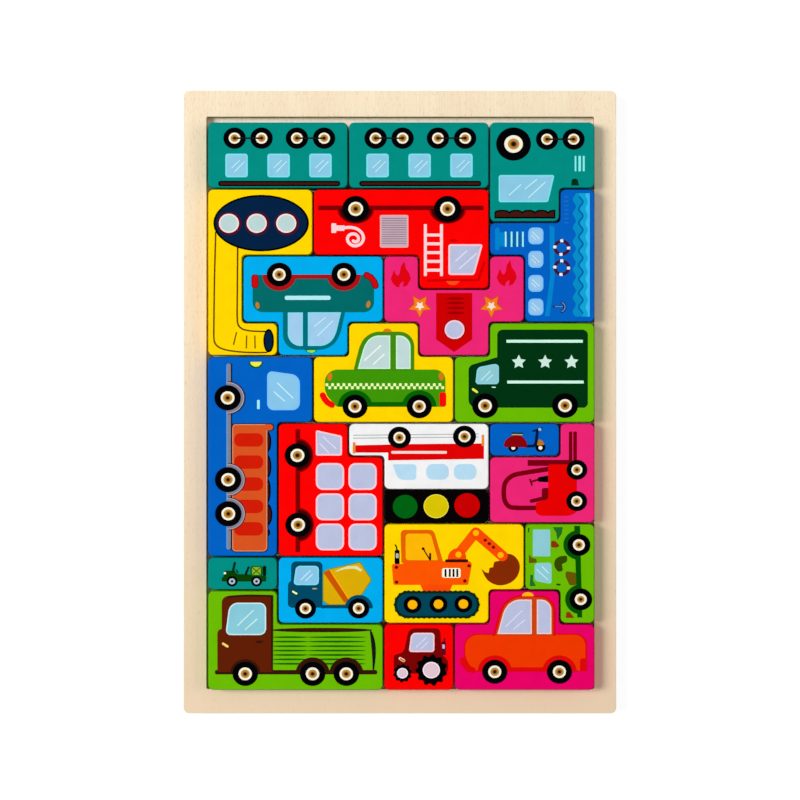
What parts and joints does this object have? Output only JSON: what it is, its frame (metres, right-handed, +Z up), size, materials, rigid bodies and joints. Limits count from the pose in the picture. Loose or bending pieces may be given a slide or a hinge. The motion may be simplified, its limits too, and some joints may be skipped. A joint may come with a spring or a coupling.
{
  "type": "wooden block puzzle",
  "caption": "Shallow plywood tray with a framed recess, filled edge to edge by loose painted wooden blocks in stepped outlines that lift out and fit back like a jigsaw.",
  "frame": {"origin": "middle of the tray's underside", "axes": "+X to the right of the tray, +Y to its head, where the blocks leave a free strip, +Z up out of the recess"},
  "size_m": [0.2084, 0.3, 0.011],
  "materials": {
    "bare_wood": "bare sanded pale plywood",
    "teal_paint": "wood painted teal, satin",
    "yellow_paint": "wood painted yellow, satin",
    "red_paint": "wood painted red, satin",
    "blue_paint": "wood painted blue, satin",
    "cyan_paint": "wood painted sky blue, satin",
    "pink_paint": "wood painted pink, satin",
    "magenta_paint": "wood painted magenta, satin",
    "lime_paint": "wood painted lime green, satin",
    "black_paint": "wood painted black, satin",
    "white_paint": "wood painted white, satin"
  },
  "bodies": {
    "tray": {"backing_board": "bare_wood", "frame": "bare_wood"},
    "coach_1": {"coach_block_1": "teal_paint"},
    "coach_2": {"coach_block_2": "teal_paint"},
    "locomotive": {"locomotive_block": "teal_paint"},
    "submarine": {"submarine_block": "yellow_paint"},
    "fire_engine": {"fire_engine_block": "red_paint"},
    "ship": {"ship_block": "blue_paint"},
    "patrol_car": {"patrol_car_block": "cyan_paint"},
    "rocket": {"rocket_block": "pink_paint"},
    "taxi": {"taxi_block": "yellow_paint"},
    "lorry": {"lorry_block": "lime_paint"},
    "haulage_truck": {"haulage_truck_block": "blue_paint"},
    "bus": {"bus_block": "red_paint"},
    "ambulance": {"ambulance_block": "white_paint"},
    "traffic_light": {"traffic_light_block": "black_paint"},
    "scooter": {"scooter_block": "blue_paint"},
    "forklift": {"forklift_block": "pink_paint"},
    "excavator": {"excavator_block": "yellow_paint"},
    "field_truck": {"field_truck_block": "lime_paint"},
    "field_car": {"field_car_block": "teal_paint"},
    "mixer_truck": {"mixer_truck_block": "cyan_paint"},
    "farm_truck": {"farm_truck_block": "lime_paint"},
    "tractor": {"tractor_block": "red_paint"},
    "saloon_car": {"saloon_car_block": "magenta_paint"}
  },
  "joints": [
    {"name": "coach_1_lift", "type": "slide", "parent": "tray", "child": "coach_1", "axis": [0, 0, 1], "range_m": [0, 0.03]},
    {"name": "coach_2_lift", "type": "slide", "parent": "tray", "child": "coach_2", "axis": [0, 0, 1], "range_m": [0, 0.03]},
    {"name": "locomotive_lift", "type": "slide", "parent": "tray", "child": "locomotive", "axis": [0, 0, 1], "range_m": [0, 0.03]},
    {"name": "submarine_lift", "type": "slide", "parent": "tray", "child": "submarine", "axis": [0, 0, 1], "range_m": [0, 0.03]},
    {"name": "fire_engine_lift", "type": "slide", "parent": "tray", "child": "fire_engine", "axis": [0, 0, 1], "range_m": [0, 0.03]},
    {"name": "ship_lift", "type": "slide", "parent": "tray", "child": "ship", "axis": [0, 0, 1], "range_m": [0, 0.03]},
    {"name": "patrol_car_lift", "type": "slide", "parent": "tray", "child": "patrol_car", "axis": [0, 0, 1], "range_m": [0, 0.03]},
    {"name": "rocket_lift", "type": "slide", "parent": "tray", "child": "rocket", "axis": [0, 0, 1], "range_m": [0, 0.03]},
    {"name": "taxi_lift", "type": "slide", "parent": "tray", "child": "taxi", "axis": [0, 0, 1], "range_m": [0, 0.03]},
    {"name": "lorry_lift", "type": "slide", "parent": "tray", "child": "lorry", "axis": [0, 0, 1], "range_m": [0, 0.03]},
    {"name": "haulage_truck_lift", "type": "slide", "parent": "tray", "child": "haulage_truck", "axis": [0, 0, 1], "range_m": [0, 0.03]},
    {"name": "bus_lift", "type": "slide", "parent": "tray", "child": "bus", "axis": [0, 0, 1], "range_m": [0, 0.03]},
    {"name": "ambulance_lift", "type": "slide", "parent": "tray", "child": "ambulance", "axis": [0, 0, 1], "range_m": [0, 0.03]},
    {"name": "traffic_light_lift", "type": "slide", "parent": "tray", "child": "traffic_light", "axis": [0, 0, 1], "range_m": [0, 0.03]},
    {"name": "scooter_lift", "type": "slide", "parent": "tray", "child": "scooter", "axis": [0, 0, 1], "range_m": [0, 0.03]},
    {"name": "forklift_lift", "type": "slide", "parent": "tray", "child": "forklift", "axis": [0, 0, 1], "range_m": [0, 0.03]},
    {"name": "excavator_lift", "type": "slide", "parent": "tray", "child": "excavator", "axis": [0, 0, 1], "range_m": [0, 0.03]},
    {"name": "field_truck_lift", "type": "slide", "parent": "tray", "child": "field_truck", "axis": [0, 0, 1], "range_m": [0, 0.03]},
    {"name": "field_car_lift", "type": "slide", "parent": "tray", "child": "field_car", "axis": [0, 0, 1], "range_m": [0, 0.03]},
    {"name": "mixer_truck_lift", "type": "slide", "parent": "tray", "child": "mixer_truck", "axis": [0, 0, 1], "range_m": [0, 0.03]},
    {"name": "farm_truck_lift", "type": "slide", "parent": "tray", "child": "farm_truck", "axis": [0, 0, 1], "range_m": [0, 0.03]},
    {"name": "tractor_lift", "type": "slide", "parent": "tray", "child": "tractor", "axis": [0, 0, 1], "range_m": [0, 0.03]},
    {"name": "saloon_car_lift", "type": "slide", "parent": "tray", "child": "saloon_car", "axis": [0, 0, 1], "range_m": [0, 0.03]}
  ]
}
